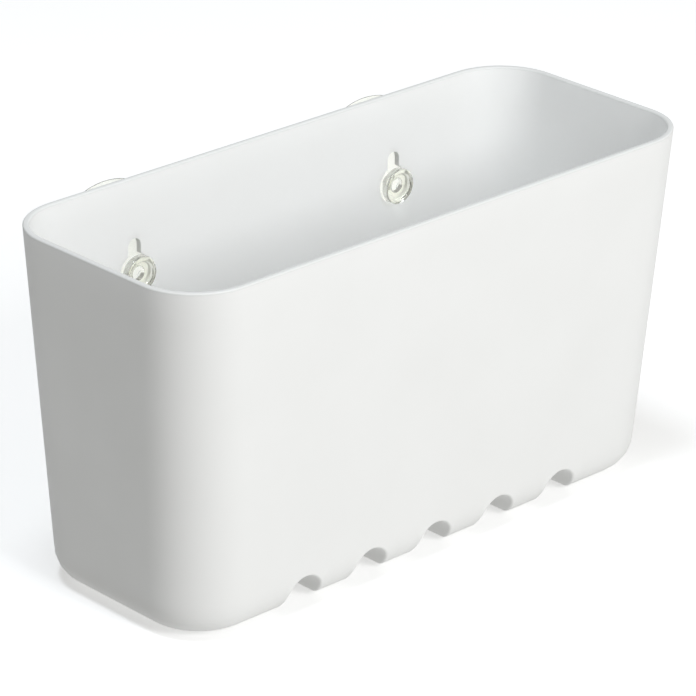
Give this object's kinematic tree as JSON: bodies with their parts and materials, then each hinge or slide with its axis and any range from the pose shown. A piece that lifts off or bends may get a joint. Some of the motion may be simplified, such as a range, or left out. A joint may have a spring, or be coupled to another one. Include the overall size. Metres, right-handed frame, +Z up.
{
  "type": "bathroom storage basket",
  "caption": "Deep white bathroom basket with drafted walls and a fluted floor, hung by clear suction cups that slide in keyholes in its back wall.",
  "frame": {"origin": "on the ground, under the middle of the tub and its cups together", "axes": "+X along the length, +Y out of the keyholed back wall towards the wall it hangs on, +Z up"},
  "size_m": [0.285, 0.1337, 0.157],
  "materials": {
    "white_plastic": "satin",
    "clear_plastic": "clear gloss"
  },
  "bodies": {
    "basket": {"basket_body": "white_plastic"},
    "cup_left": {"suction_cup_left": "clear_plastic"},
    "cup_right": {"suction_cup_right": "clear_plastic"}
  },
  "joints": [
    {"name": "cup_left_slide", "type": "slide", "parent": "basket", "child": "cup_left", "axis": [0, 0, 1], "range_m": [-0.0046, 0.0114]},
    {"name": "cup_right_slide", "type": "slide", "parent": "basket", "child": "cup_right", "axis": [0, 0, 1], "range_m": [-0.0046, 0.0114]}
  ]
}
